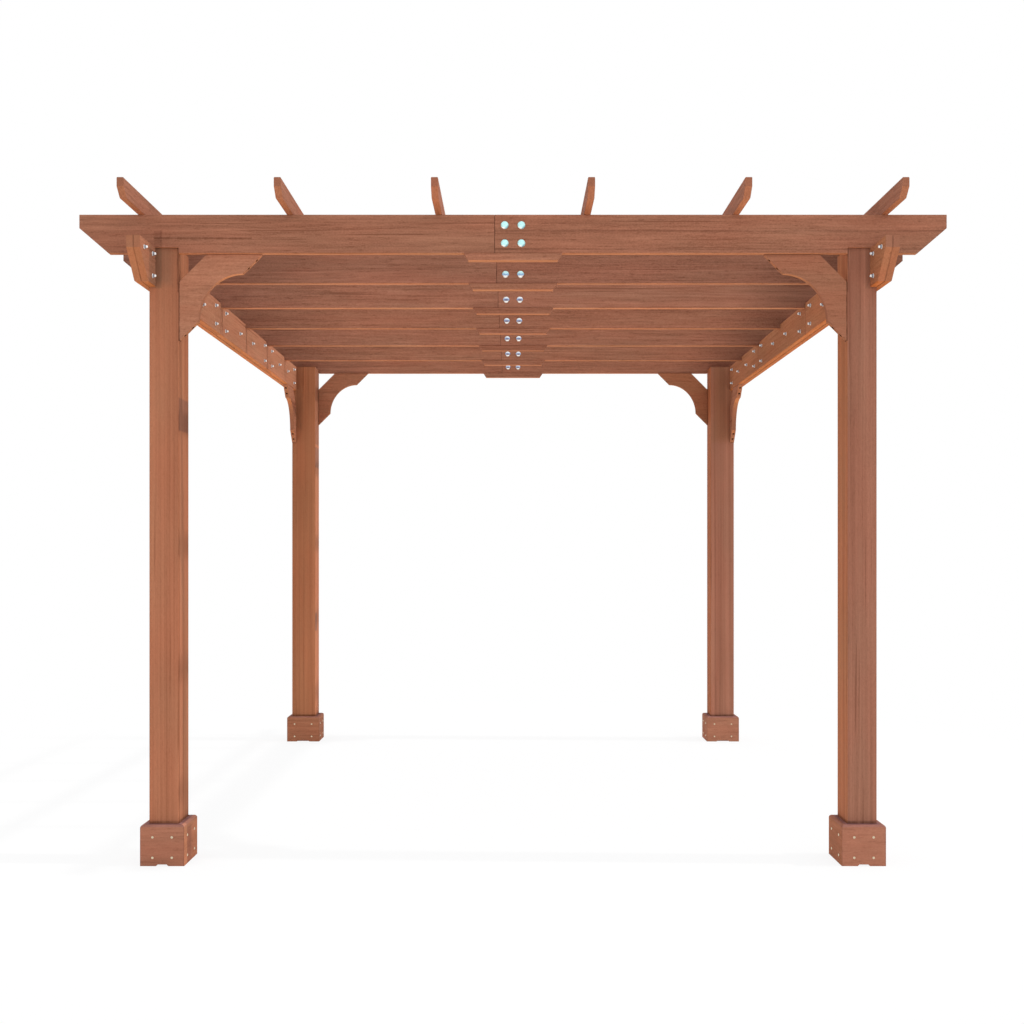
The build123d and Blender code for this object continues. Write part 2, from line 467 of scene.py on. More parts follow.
def make_board_shift():
    """A shift of its own for each board of a row: a fixed random vector of the board's number.

    The number is the whole part of the distance past the first joint over the pitch, kept
    between a lowest and a highest number. It also gives each board a brightness of its own.
    """
    tree, given, out = new_group(
        "board shift",
        {"Distance": 0.0, "First Joint": 0.0, "Pitch": 1.0, "Lowest": -1.0, "Highest": 1.0,
         "Seed": 0.0},
        {"Vector": ("Shift",), "Float": ("Tint",)},
    )
    past = reckon(tree, "SUBTRACT", given["Distance"], given["First Joint"])
    number = reckon(tree, "FLOOR", reckon(tree, "DIVIDE", past, given["Pitch"]))
    number = reckon(tree, "MAXIMUM", number, given["Lowest"])
    number = reckon(tree, "MINIMUM", number, given["Highest"])
    number = reckon(tree, "ADD", number, given["Seed"])
    chance = add(tree, "TexWhiteNoise", {"W": number}, noise_dimensions="1D").outputs
    tree.links.new(stretch(tree, chance["Color"], (9.0, 0.6, 0.6)), out["Shift"])
    tree.links.new(chance["Value"], out["Tint"])
    return tree


SAWN_GRAIN = make_sawn_grain()
STAIN_COAT = make_stain_coat()
FACE_MASKS = make_face_masks()
BOARD_SHIFT = make_board_shift()
SEAM = make_seam()
PATCH = make_patch()

# A turn that lays each grain direction along X, and the axis that cut ends face
TURNS = {"X": (0.0, 0.0, 0.0), "Y": (0.0, 0.0, -math.pi / 2), "Z": (0.0, math.pi / 2, 0.0)}
AXES = {"X": (1.0, 0.0, 0.0), "Y": (0.0, 1.0, 0.0), "Z": (0.0, 0.0, 1.0)}


def new_material(name):
    """An empty node material and its tree."""
    material = bpy.data.materials.new(name)
    material.use_nodes = True
    material.node_tree.nodes.clear()
    return material, material.node_tree


def cover(tree, kind, inputs):
    """Puts one shader on the material's surface."""
    shader = add(tree, kind, inputs)
    add(tree, "OutputMaterial", {"Surface": shader.outputs[0]})


# Looks of the grain: sizes of its bands in metres, and how much each mask counts
LOOK_LABELS = (
    "Ring Width", "Waver", "Streak Width", "Streak Length", "Fibre Width", "Fibre Length",
    *AMOUNTS,
)
LONG_GRAIN = (0.014, 0.8, 0.013, 0.60, 0.0062, 0.15, 0.20, 0.75, 0.82, 0.80, 0.40, 0.26)
BEAM_GRAIN = (0.014, 0.8, 0.013, 0.60, 0.0062, 0.15, 0.12, 0.45, 0.55, 0.95, 0.55, 0.20)
POST_GRAIN = (0.030, 0.12, 0.023, 3.0, 0.0080, 1.4, 0.10, 0.95, 0.70, 0.30, 0.45, 0.10)
BRACE_GRAIN = (0.014, 0.8, 0.014, 0.40, 0.0056, 0.09, 0.12, 0.45, 0.65, 0.65, 0.30, 0.25)
TRIM_GRAIN = (0.018, 0.6, 0.022, 0.40, 0.0065, 0.08, 0.12, 0.55, 0.45, 0.45, 0.55, 0.20)

# How far the palest and the darkest grain are from the tone of the stain
PALE_SHARE = (1.30, 1.34, 1.36)
DARK_SHARE = (0.70, 0.66, 0.64)


def seam_darkening(tree, place, seams):
    """The darkening in a board's seams, dark joints and painted contact shade: the strongest of
    them at each place.
    """
    dirt = 0.0
    for axis, plane, width, strength in seams:
        line = add(tree, "Group", {
            "Vector": place["Object"], "Axis": AXES[axis], "Plane": plane, "Width": width,
            "Strength": strength,
        }, node_tree=SEAM)
        dirt = reckon(tree, "MAXIMUM", line.outputs["Seam"], dirt)
    return dirt


def patched(tree, place, color, patches):
    """A colour with the patches of stain laid over it."""
    for axis, low, high, factor, *softness in patches:
        patch = add(tree, "Group", {
            "Vector": place["Object"], "Normal": place["Normal"], "Axis": axis,
            "Middle": [(a + b) / 2 for a, b in zip(low, high)],
            "Half Size": [(b - a) / 2 for a, b in zip(low, high)],
        }, node_tree=PATCH)
        if softness:
            patch.inputs["Softness"].default_value = softness[0]
        color = tinted(tree, patch.outputs["Mask"], color, (*factor, 1.0))
    return color


def stained_wood(name, tone, grain, seed, row=None, look=LONG_GRAIN, seams=(), patches=(),
                 underside_light=None, side_tint=None):
    """Stained sawn timber for one node, its grain along one axis and drawn from its own seed.

    row is (axis, first joint, pitch, lowest, highest) where the node holds several boards.
    Each seam is (axis, plane, width, strength), and each patch is (axis its face looks along,
    low corner, high corner, colour factor), with a softness where the edge is wide; patches are
    stains, painted shade and painted light. The underside factor is the colour factor of faces
    that look down, a painted warm bounce light. side_tint is (sign, factor) for faces that look
    along X, partly the board's own tone and partly painted light and shade.
    """
    material, tree = new_material(name)
    place = add(tree, "TexCoord").outputs

    # Each seed moves the grain along the board, and its heart line off the board's middle
    along_x = add(tree, "Mapping", {
        "Vector": place["Object"], "Rotation": TURNS[grain],
        "Location": (seed * 3.17, 0.09 + 0.35 * math.sin(seed * 2.4),
                     0.07 + 0.3 * math.cos(seed * 1.7)),
    }, vector_type="POINT").outputs["Vector"]
    if row:
        shift = add(tree, "Group", {
            "Distance": split(tree, place["Object"])[row[0]], "Seed": seed + 40.0,
            **dict(zip(("First Joint", "Pitch", "Lowest", "Highest"), row[1:])),
        }, node_tree=BOARD_SHIFT)
        along_x = reckon_vector(tree, "ADD", along_x, shift.outputs["Shift"])
    board = add(tree, "Group", {"Vector": along_x}, node_tree=SAWN_GRAIN)
    faces = add(tree, "Group", {
        "Normal": place["Normal"], "Grain Axis": AXES[grain],
    }, node_tree=FACE_MASKS)
    coat = add(tree, "Group", {
        "Pale": (*(np.array(tone) * PALE_SHARE), 1.0),
        "Dark": (*(np.array(tone) * DARK_SHARE), 1.0),
    }, node_tree=STAIN_COAT)
    for masks in (board, faces):
        for mask in masks.outputs:
            tree.links.new(mask, coat.inputs[mask.name])
    for label, value in zip(LOOK_LABELS, look):
        (coat if label.endswith("Amount") else board).inputs[label].default_value = value
    if seams:
        tree.links.new(seam_darkening(tree, place, seams), coat.inputs["Seams"])
    # Painted warm bounce light on the faces that look down
    if underside_light:
        coat.inputs["Underside Light"].default_value = (*underside_light, 1.0)
    color = coat.outputs["Color"]
    if row:
        # Boards of a row are up to 6 per cent lighter or darker
        tint = reckon(tree, "MULTIPLY_ADD", shift.outputs["Tint"], 0.12, 0.94)
        tint = add(tree, "CombineXYZ", {0: tint, 1: tint, 2: tint}).outputs[0]
        color = tinted(tree, 1.0, color, tint)
    # The inner side's factor: partly its own tone, partly painted light and shade
    if side_tint:
        sign, factor = side_tint
        aside = reckon(tree, "MULTIPLY", split(tree, place["Normal"])["X"], sign)
        color = tinted(tree, span(tree, aside, 0.5, 0.9), color, (*factor, 1.0))
    bump = add(tree, "Bump", {
        "Height": coat.outputs["Height"], "Strength": 0.35, "Distance": 0.0012,
    })
    cover(tree, "BsdfPrincipled", {
        "Base Color": patched(tree, place, color, patches), "Normal": bump.outputs["Normal"],
        "Roughness": coat.outputs["Roughness"], "Specular IOR Level": 0.03,
    })
    return material


def bare_metal(name, color, roughness, wear=0.12):
    """Plated steel: an even colour with faint smears that dull its shine."""
    material, tree = new_material(name)
    place = add(tree, "TexCoord").outputs["Object"]
    smears = noise(tree, place, (300.0, 300.0, 300.0), 3.0)
    dull = reckon(tree, "MULTIPLY_ADD", smears, wear, roughness - wear / 2)
    tint = mix(tree, smears, (*(np.array(color) * 0.86), 1.0), (*color, 1.0))
    cover(tree, "BsdfPrincipled", {"Base Color": tint, "Metallic": 1.0, "Roughness": dull})
    return material


def lap_bolt_painted_reflections(name):
    """Zinc of the lap bolts with painted reflections: cyan in front, bluer behind, then plain
    and dark-eyed.

    The tint goes by the bolt's place from front to rear and by the way its dome looks, as
    painted reflections. All are white where they look down, a painted reflection of the floor.
    A front head is darker to the lower right. The next ones are cyan above and blue in the
    middle, the rear ones pale blue above and dark in the middle, and both are brown where they
    look down and aside, a painted reflection of the wood.
    """
    material, tree = new_material(name)
    place = add(tree, "TexCoord").outputs
    # Colours of the painted reflections
    white_reflection, ice = (0.98, 0.99, 0.97, 1.0), (0.90, 0.97, 1.0, 1.0)
    cyan, pale_cyan = (0.54, 0.93, 0.95, 1.0), (0.62, 0.98, 1.0, 1.0)
    blue, pale_blue = (0.33, 0.58, 0.92, 1.0), (0.42, 0.57, 0.86, 1.0)
    deep_cyan, slate_blue = (0.26, 0.50, 0.56, 1.0), (0.34, 0.45, 0.70, 1.0)
    dark_reflection, brown = (0.14, 0.09, 0.20, 1.0), (0.42, 0.24, 0.18, 1.0)
    depth = split(tree, place["Object"])["Y"]
    behind = span(tree, depth, -1.5, -1.1)
    rear = span(tree, depth, -0.9, -0.6)
    aside, _, rise = split(tree, place["Normal"])
    aside_share = reckon(tree, "ABSOLUTE", aside)
    lower_right = dot(tree, place["Normal"], (0.55, -0.55, -0.63))
    down = span(tree, rise, -0.16, -0.32)
    front = mix(tree, span(tree, rise, -0.30, -0.50), cyan, white_reflection)
    front = mix(tree, span(tree, lower_right, 0.76, 0.93), front, deep_cyan)
    next_one = mix(tree, span(tree, rise, -0.10, 0.35), blue, pale_cyan)
    eye = mix(tree, span(tree, aside_share, 0.12, 0.50), dark_reflection, slate_blue)
    last = mix(tree, span(tree, rise, -0.03, 0.10), eye, pale_blue)
    last = mix(tree, span(tree, rise, 0.12, 0.38), last, ice)
    tint = mix(tree, rear, next_one, last)
    tint = mix(tree, down, tint, white_reflection)
    below_aside = reckon(tree, "MULTIPLY", down, span(tree, aside_share, 0.34, 0.60))
    tint = mix(tree, below_aside, tint, brown)
    tint = mix(tree, behind, front, tint)
    cover(tree, "BsdfPrincipled", {"Base Color": tint, "Metallic": 0.45, "Roughness": 0.3})
    return material


def beam_nut_shade_and_highlight(name, face):
    """Zinc of the nuts on the beams: the nut painted dull grey as painted shade, with the
    washer and bolt end painted white as painted highlights.

    The distance from the beam's face is the face's distance from the middle, less the place's.
    """
    # Painted highlight white for washer and end, painted shade grey for the nut
    highlight_white, dull = (0.95, 0.97, 0.97, 1.0), (0.27, 0.30, 0.37, 1.0)
    material, tree = new_material(name)
    across = split(tree, add(tree, "TexCoord").outputs["Object"])["X"]
    away = reckon(tree, "SUBTRACT", face, reckon(tree, "ABSOLUTE", across))
    past_washer = span(tree, away, 0.0014, 0.0020)
    before_end = span(tree, away, 0.0078, 0.0070)
    tint = mix(tree, reckon(tree, "MULTIPLY", past_washer, before_end), highlight_white, dull)
    cover(tree, "BsdfPrincipled", {"Base Color": tint, "Metallic": 0.35, "Roughness": 0.3})
    return material


def hole_shade(name, color):
    """Painted shade inside a screw hole: the wood there is near-black."""
    material, tree = new_material(name)
    cover(tree, "BsdfDiffuse", {"Color": (*color, 1.0)})
    return material


# Stained boards

def finish_node(node, material):
    """Gives a frame node its material."""
    mesh = nodes[node].data
    if len(mesh.materials):
        mesh.materials[0] = material
    else:
        mesh.materials.append(material)


def how_many(name):
    """How many nodes a numbered row has, such as batten_1, batten_2 and so on."""
    count = 0
    while name.format(count + 1) in nodes:
        count += 1
    return count


rafter_count = how_many("rafter_{}_left")
batten_count = how_many("batten_{}")

# Where each kind of board starts its own run of grain seeds
POST_SEED, BEAM_SEED, RAFTER_SEED, BRACE_SEED = 1.0, 21.0, 31.0, 61.0

# The pitch, lowest and highest number that part a row of boards in two at its first joint
IN_TWO = (5.0, -1.0, 0.0)

# Width and strength of the dark seams
POST_FOOT_SEAM, POST_TOP_SEAM, CORNER_SEAM = (0.009, 0.65), (0.0045, 0.45), (0.004, 0.25)
LAYER_SEAM, BUTT_SEAM = (0.0035, 0.5), (0.003, 0.9)
# A brace's end line, where it meets its post, is a dark joint with painted contact shade
BRACE_END_SEAM, BRACE_TOP_SEAM = (0.0045, 0.95), (0.0040, 0.6)

# The dark line round a post's foot is this far above its base trim
foot_line_rise = 0.003

# Tones of the stain: for each post its front and the factor of its inner side, which is partly
# the side's own tone and partly painted light and shade, for each base trim the boards across
# it and along it
POST_TONES = {
    "front_left": ((0.3474, 0.1352, 0.0751), (0.9602, 0.9381, 0.8842)),
    "front_right": ((0.2826, 0.1213, 0.0799), (1.3268, 1.1222, 0.8198)),
    "rear_left": ((0.3431, 0.1283, 0.0637), (1.2272, 1.23, 1.3)),
    "rear_right": ((0.3342, 0.1419, 0.0931), (1.0272, 0.7961, 0.5535)),
}
TRIM_TONES = {
    "front_left": ((0.3325, 0.1382, 0.088), (0.4007, 0.1584, 0.0891)),
    "front_right": ((0.34, 0.1418, 0.092), (0.342, 0.1302, 0.0697)),
    "rear_left": ((0.3534, 0.1382, 0.078), (0.376, 0.141, 0.078)),
    "rear_right": ((0.3757, 0.161, 0.102), (0.370, 0.145, 0.085)),
}
BRACE_TONES = {
    "front_left": (0.368, 0.1551, 0.094),
    "front_right": (0.2999, 0.1222, 0.073),
    "rear_left": (0.322, 0.127, 0.072), "rear_right": (0.285, 0.110, 0.057),
}
BRACE_TONE = (0.335, 0.135, 0.080)
RAFTER_TONES = (
    (0.2985, 0.1255, 0.0778), (0.3058, 0.1316, 0.0861),
    (0.3502, 0.1544, 0.0999), (0.3281, 0.1387, 0.0868),
    (0.3281, 0.1416, 0.09), (0.3264, 0.1373, 0.0855),
    (0.3213, 0.1316, 0.0819),
)
CLEAT_TONE = (0.312, 0.129, 0.080)
BEAM_TONES = {"left": (0.3623, 0.1529, 0.0887), "right": (0.3581, 0.1408, 0.0708)}
# Painted warm bounce light: colour factors of the faces that look down on beams and battens
BEAM_UNDERSIDE_LIGHT = (1.28, 0.98, 0.56)
BATTEN_TONE = (0.319, 0.1274, 0.078)
BATTEN_UNDERSIDE_LIGHT = (1.22, 1.10, 0.88)

rafter_spread = 0.02
batten_spread = 0.04
chance = np.random.default_rng(11)


def near(tone, spread):
    """A tone a little lighter or darker, as each board takes the stain."""
    return tuple(np.array(tone) * (1 + chance.uniform(-spread, spread)))


# Darker places on the posts, stains and painted shadow and shade: the way they face, low and
# high corner, and factor
POST_PATCHES = {
    "front_left": (
        # Painted shadow of the beam's tail on the front, its soft wider edge, and a painted shade
        # line beside the brace
        ((0, -1, 0), (-1.30, -1.60, 2.074), (-1.2640, -1.50, 2.23), (0.74, 0.80, 0.82)),
        ((0, -1, 0), (-1.30, -1.60, 2.10), (-1.2380, -1.50, 2.23), (0.82, 0.91, 0.97), 0.03),
        ((0, -1, 0), (-1.2088, -1.60, 2.06), (-1.19, -1.50, 2.23), (0.42, 0.38, 0.38), 0.005),
        # A stain on the inner side
        ((1, 0, 0), (-1.21, -1.58, 1.563), (-1.19, -1.42, 1.680), (0.70, 0.74, 0.86)),
    ),
    "front_right": (
        # Painted shadow of the beam's tail on the front, and a painted shade line beside the brace
        ((0, -1, 0), (1.2690, -1.60, 2.074), (1.30, -1.50, 2.23), (0.86, 0.87, 0.86)),
        ((0, -1, 0), (1.19, -1.60, 2.06), (1.2070, -1.50, 2.23), (0.55, 0.52, 0.52), 0.005),
    ),
    "rear_left": (
        # Darker at the front's upper left, and painted shadow high on the inner side under the
        # brace
        ((0, -1, 0), (-1.40, 1.40, 1.86), (-1.262, 1.50, 2.40), (0.80, 0.84, 0.86), 0.03),
        ((1, 0, 0), (-1.18, 1.42, 1.760), (-1.16, 1.58, 2.40), (0.70, 0.75, 0.82)),
        # Stains on the inner side
        ((1, 0, 0), (-1.18, 1.42, 1.624), (-1.16, 1.58, 1.743), (0.66, 0.74, 0.90)),
        ((1, 0, 0), (-1.18, 1.42, 0.652), (-1.16, 1.49, 0.758), (0.66, 0.74, 0.90)),
    ),
    "rear_right": (
        # Darker and less blue at the top of the front
        ((0, -1, 0), (1.205, 1.40, 1.80), (1.40, 1.50, 2.40), (0.85, 0.86, 0.76), 0.05),
    ),
}

# The front left trim's inner side is dark in the middle and pale towards both ends. Its pale
# front end with the rounded top edge, and its top, most at the front, are painted light
TRIM_PATCHES = {
    "front_left": (
        ((1.3, 0, 0.5), (-1.21, -1.70, 0.0), (-1.16, -1.560, 0.16), (1.24, 1.26, 1.20)),
        ((0, 0, 1.6), (-1.2015, -1.70, 0.12), (-1.16, -1.550, 0.16), (1.40, 1.40, 1.42)),
        ((0, 0, 1.6), (-1.192, -1.545, 0.12), (-1.16, -1.30, 0.16), (1.16, 1.16, 1.20)),
        ((1, 0, 0), (-1.19, -1.553, 0.0), (-1.16, -1.500, 0.130), (0.82, 0.79, 0.84)),
        ((1, 0, 0), (-1.19, -1.480, 0.0), (-1.16, -1.30, 0.130), (1.14, 1.10, 1.05)),
    ),
}

# On top of each base trim: cooler all over, as a painted cool light from above, and darker
# close round the post
TRIM_TOP_COOL_LIGHT = (0.88, 0.93, 1.12)
TOP_BESIDE_POST = {"faces": (0.56, 0.56, 0.76), "sides": (0.72, 0.82, 1.08)}


def trim_top_patches(corner, boards):
    """The two patches on top of a base trim: the first a painted cool light from above, with its
    rounded edge, the second darker close round the post.
    """
    lo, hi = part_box(f"base_trim_{corner}_faces")
    post_lo, post_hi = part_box(f"post_{corner}")
    past = Vector((1, 1, 1))
    rim = Vector((trim_top_dark_reach, trim_top_dark_reach, 0))
    return (
        ((0, 0, 2.2), lo - past, hi + past, TRIM_TOP_COOL_LIGHT),
        ((0, 0, 1), Vector((post_lo.x, post_lo.y, 0)) - rim,
         Vector((post_hi.x, post_hi.y, 1)) + rim, TOP_BESIDE_POST[boards]),
    )


seed = POST_SEED
for end in ENDS:
    for side, side_sign in SIDES.items():
        corner = f"{end}_{side}"
        lo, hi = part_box(f"base_trim_{corner}_faces")
        post_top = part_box(f"post_{corner}")[1].z
        post_tone, inner_tint = POST_TONES[corner]
        finish_node(f"post_{corner}", stained_wood(
            f"post wood {corner}", post_tone, "Z", seed, look=POST_GRAIN,
            seams=(("Z", hi.z + foot_line_rise, *POST_FOOT_SEAM),
                   ("Z", post_top, *POST_TOP_SEAM)),
            patches=POST_PATCHES[corner], side_tint=(-side_sign, inner_tint),
        ))
        finish_node(f"base_trim_{corner}_faces", stained_wood(
            f"trim wood {corner} faces", TRIM_TONES[corner][0], "X", seed + 4, look=TRIM_GRAIN,
            row=("Y", (lo.y + hi.y) / 2, *IN_TWO), patches=trim_top_patches(corner, "faces"),
            seams=(("X", lo.x, *CORNER_SEAM), ("X", hi.x, *CORNER_SEAM)),
        ))
        finish_node(f"base_trim_{corner}_sides", stained_wood(
            f"trim wood {corner} sides", TRIM_TONES[corner][1], "Y", seed + 8, look=TRIM_GRAIN,
            row=("X", (lo.x + hi.x) / 2, *IN_TWO),
            patches=trim_top_patches(corner, "sides") + TRIM_PATCHES.get(corner, ()),
        ))
        seed += 1.0

# The left beam is dark beside the front post, a painted contact shadow, and the right one's
# tail is cooler in front
right_tail = ((0, -1.2, 0), (1.2, -1.90, 2.0), (1.4, -1.65, 2.3), (0.90, 0.98, 1.24))
BEAM_PATCHES = {
    "left_inner": (
        ((1, 0, 0), (-1.30, -1.655, 2.0), (-1.27, -1.50, 2.3), (0.74, 0.80, 0.84), 0.02),
    ),
    "right_inner": (right_tail,),
    "right_outer": (right_tail,),
}

# A dark line under each beam where its two layers meet: half its width, colour and softness
joint_half_width = 0.0015
UNDER_JOINT = (0.46, 0.40, 0.36)
joint_softness = 0.0035

# Boards and butt joints of the two layers
BEAM_LAYERS = {
    "inner": (("Y", -beam_joint, 2 * beam_joint, -1.0, 1.0), (-beam_joint, beam_joint)),
    "outer": (("Y", 0.0, *IN_TWO), (0.0,)),
}

seed = BEAM_SEED
for side, side_sign in SIDES.items():
    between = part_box(f"beam_{side}_inner")[side_sign > 0].x
    joint = (
        (0, 0, -1), (between - joint_half_width, -1.70, 2.0),
        (between + joint_half_width, 1.70, 2.1), UNDER_JOINT, joint_softness,
    )
    for layer, (row, butts) in BEAM_LAYERS.items():
        finish_node(f"beam_{side}_{layer}", stained_wood(
            f"beam wood {side} {layer}", BEAM_TONES[side], "Y", seed, row=row, look=BEAM_GRAIN,
            seams=(("X", between, *LAYER_SEAM), *(("Y", butt, *BUTT_SEAM) for butt in butts)),
            patches=(*BEAM_PATCHES.get(f"{side}_{layer}", ()), joint),
            underside_light=BEAM_UNDERSIDE_LIGHT,
        ))
        seed += 1.0

# The foremost rafter has checks along both boards, the left one's as its first patch, and is
# darker beside the left beam, a painted shadow of the beam's tail
FRONT_SEAMS = {"right": (("Z", 2.2785, 0.0050, 0.30), ("Z", 2.2130, 0.0035, 0.35))}
FRONT_PATCHES = {
    "left": (
        ((0, -1, 0), (-1.29, -1.70, 2.2490), (-0.94, -1.40, 2.2540), (0.50, 0.46, 0.43), 0.006),
        # Painted shadow of the beam's tail, and its sharp edge
        ((0, -1, 0), (-1.290, -1.70, 2.215), (-1.2635, -1.40, 2.280), (0.84, 0.82, 0.82)),
        ((0, -1, 0), (-1.2660, -1.70, 2.215), (-1.2625, -1.40, 2.280), (0.72, 0.69, 0.69)),
    ),
}

# Rafters behind it are darker from the beam's inner face to the shade's end, a painted shade
# of the beams: colour factor, and how far it fades to either side
BEAM_SHADE = {
    "left": ((0.76, 0.77, 0.80), 0.50),
    "right": ((0.62, 0.61, 0.62), 0.34),
}
shade_end = 1.42

# Farther out than any piece
beyond = 9.0

seed = RAFTER_SEED
for number in range(1, rafter_count + 1):
    for side, side_sign in SIDES.items():
        lap_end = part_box(f"rafter_{number}_{side}")[0].x
        seams = (("X", lap_end, *BUTT_SEAM),) if side == "right" else ()
        if number == 1:
            seams += FRONT_SEAMS.get(side, ())
            patches = FRONT_PATCHES.get(side, ())
        else:
            # Painted shade of the beam on the rafter's front
            beam_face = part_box(f"beam_{side}_inner")[side_sign < 0].x
            low, high = sorted((beam_face, side_sign * shade_end))
            factor, reach = BEAM_SHADE[side]
            patches = (((0, -1, 0), (low, -beyond, 0), (high, beyond, beyond), factor, reach),)
        tone = near(RAFTER_TONES[min(number, len(RAFTER_TONES)) - 1], rafter_spread)
        finish_node(f"rafter_{number}_{side}", stained_wood(
            f"rafter wood {number} {side}", tone, "X", seed, seams=seams, patches=patches,
        ))
        seed += 1.0
first_y, last_y = (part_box(f"rafter_{number}_left")[0].y for number in (1, rafter_count))
rafter_pitch = (last_y - first_y) / (rafter_count - 1)
finish_node("splice_cleats", stained_wood(
    "cleat wood", CLEAT_TONE, "X", seed,
    row=("Y", first_y - rafter_pitch / 2, rafter_pitch, 0.0, rafter_count),
))
for number in range(1, batten_count + 1):
    finish_node(f"batten_{number}", stained_wood(
        f"batten wood {number}", near(BATTEN_TONE, batten_spread), "Y", seed + number,
        underside_light=BATTEN_UNDERSIDE_LIGHT,
    ))


# Braces with their screw holes

YELLOW_ZINC = bare_metal("yellow zinc", (0.78, 0.68, 0.50), 0.36)
PLAIN_ZINC = bare_metal("plain zinc", (0.86, 0.89, 0.91), 0.22)
# Brace screws are near-black, as painted shade deep in their holes
DARK_SCREW = bare_metal("dark screw", (0.04, 0.035, 0.03), 0.60)
LAP_BOLT_REFLECTIONS = lap_bolt_painted_reflections("lap bolt reflections")
BEAM_NUT = beam_nut_shade_and_highlight("beam nut zinc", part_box("beam_right_inner")[0].x)
# Near-black wood inside the screw holes, as painted shade
BORE_SHADE = hole_shade("bored wood shade", (0.020, 0.009, 0.005))


def toe_holes(node, away):
    """Mouths and directions of the four screw holes in the two toes of a brace.

    A toe's face runs at 45 degrees from the brace's end. Its middle is half a toe in from
    the end along the brace and half a toe down, and the holes are spaced along the slope.
    """
    lo, hi = (np.array(corner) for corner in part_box(node))
    along = np.array(away, dtype=float)
    reach = abs(float((hi - lo) @ along))
    drop = hi[2] - lo[2]
    corner = (lo + hi) / 2 - along * reach / 2
    corner[2] = hi[2]
    half = hole_spacing / 2 / math.sqrt(2)
    outward = (along - UP) / math.sqrt(2)
    upper = corner + along * (reach - brace_toe / 2) - UP * brace_toe / 2
    lower = corner + along * brace_toe / 2 - UP * (drop - brace_toe / 2)
    slope = (along + UP) * half
    mouths = np.array([upper - slope, upper + slope, lower - slope, lower + slope])
    return mouths, outward


def bored_faces(mesh, mouths, outward):
    """Marks the faces of a drilled brace whose middles lie in one of its holes."""
    middles = np.empty(len(mesh.polygons) * 3)
    mesh.polygons.foreach_get("center", middles)
    past = middles.reshape(-1, 1, 3) - mouths[None]
    along = past @ outward
    off = np.linalg.norm(past - along[:, :, None] * outward, axis=2)
    inside = (off < hole_radius + bore_slack) & (along < -bore_slack)
    return (inside & (along > -hole_depth - 5 * bore_slack)).any(axis=1)


def drill(node, away, material):
    """A copy of a brace, merged and cut by round pegs where its screws go in.

    Returns where the screw heads lie in the holes, and the way they look.
    """
    mouths, outward = toe_holes(node, away)
    peg = turned([(hole_radius, 0.0, 0.0), (hole_radius, hole_depth + peg_overlength, 0.0)], 20)
    pegs = set_out(peg, mouths - outward * hole_depth, outward)
    cutter = make_piece(f"{node}_pegs", *pegs, material, slot=None)
    copy = new_object(f"{node}_drilled", nodes[node].data.copy())
    weld = copy.modifiers.new("merge", "WELD")
    weld.merge_threshold = 1e-6
    cut = copy.modifiers.new("holes", "BOOLEAN")
    cut.operation = "DIFFERENCE"
    cut.solver = "EXACT"
    cut.object = cutter
    bpy.context.view_layer.update()
    seen = copy.evaluated_get(bpy.context.evaluated_depsgraph_get())
    mesh = bpy.data.meshes.new_from_object(seen)
    copy.modifiers.clear()
    copy.data = mesh
    mesh.name = copy.name
    mesh.materials.clear()
    mesh.materials.append(material)
    mesh.materials.append(BORE_SHADE)
    bored = bored_faces(mesh, mouths, outward)
    mesh.polygons.foreach_set("material_index", bored.astype(np.int32))
    mesh.set_sharp_from_angle(angle=crease_angle)
    bpy.data.objects.remove(cutter)
    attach(copy, "root")
    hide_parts(node)
    heads = mouths - outward * (hole_depth - head_seat)
    return heads, np.broadcast_to(outward, heads.shape)


sunk_places, sunk_directions = [], []
seed = BRACE_SEED
for end, end_sign in ENDS.items():
    for side, side_sign in SIDES.items():
        for node, grain, away in (
            (f"brace_{end}_{side}", "X", (-side_sign, 0, 0)),
            (f"brace_{side}_{end}", "Y", (0, -end_sign, 0)),
        ):
            lo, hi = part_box(node)
            axis = "XYZ".index(grain)
            at_post = lo[axis] if away[axis] > 0 else hi[axis]
            # Its line at the post is a dark joint with painted contact shade
            wood = stained_wood(
                f"brace wood {node[6:]}", BRACE_TONES.get(node[6:], BRACE_TONE), grain, seed,
                look=BRACE_GRAIN,
                seams=((grain, at_post, *BRACE_END_SEAM), ("Z", hi.z, *BRACE_TOP_SEAM)),
            )
            finish_node(node, wood)
            heads, outward = drill(node, away, wood)
            sunk_places.append(heads)
            sunk_directions.append(outward)
            seed += 1.0

SUNK_HEAD = turned([
    (0.0040, 0.0, 0.0), (0.0040, 0.0012, 0.0), (0.0032, 0.0024, 0.0), (0.0018, 0.0026, 0.0),
    (0.0016, 0.0025, 0.0013), (0.0014, 0.0008, 0.0012),
], 18)
make_row("brace_screws", SUNK_HEAD, np.concatenate(sunk_places),
         np.concatenate(sunk_directions), DARK_SCREW)


# Bolts and screws, as rows of radius, height and half across flats

DOMED_HEAD = [
    (0.0140, 0.0, 0.0), (0.0140, 0.0010, 0.0), (0.0134, 0.0022, 0.0), (0.0118, 0.0038, 0.0),
    (0.0094, 0.0053, 0.0), (0.0066, 0.0063, 0.0), (0.0034, 0.0069, 0.0), (0.0008, 0.0071, 0.0),
]
SMALL_HEAD = [(r * 0.62, h * 0.62, f) for r, h, f in DOMED_HEAD]
NUT_END = [
    (0.0082, 0.0, 0.0), (0.0082, 0.0013, 0.0), (0.0079, 0.0016, 0.0), (0.0064, 0.0016, 0.0057),
    (0.0067, 0.0020, 0.0057), (0.0067, 0.0060, 0.0057), (0.0060, 0.0064, 0.0057),
    (0.0046, 0.0066, 0.0), (0.0045, 0.0072, 0.0), (0.0045, 0.0106, 0.0), (0.0040, 0.0118, 0.0),
    (0.0026, 0.0126, 0.0), (0.0008, 0.0128, 0.0),
]
LAP_NUT = [(r * 1.30, h * 1.15, f * 1.30) for r, h, f in NUT_END]
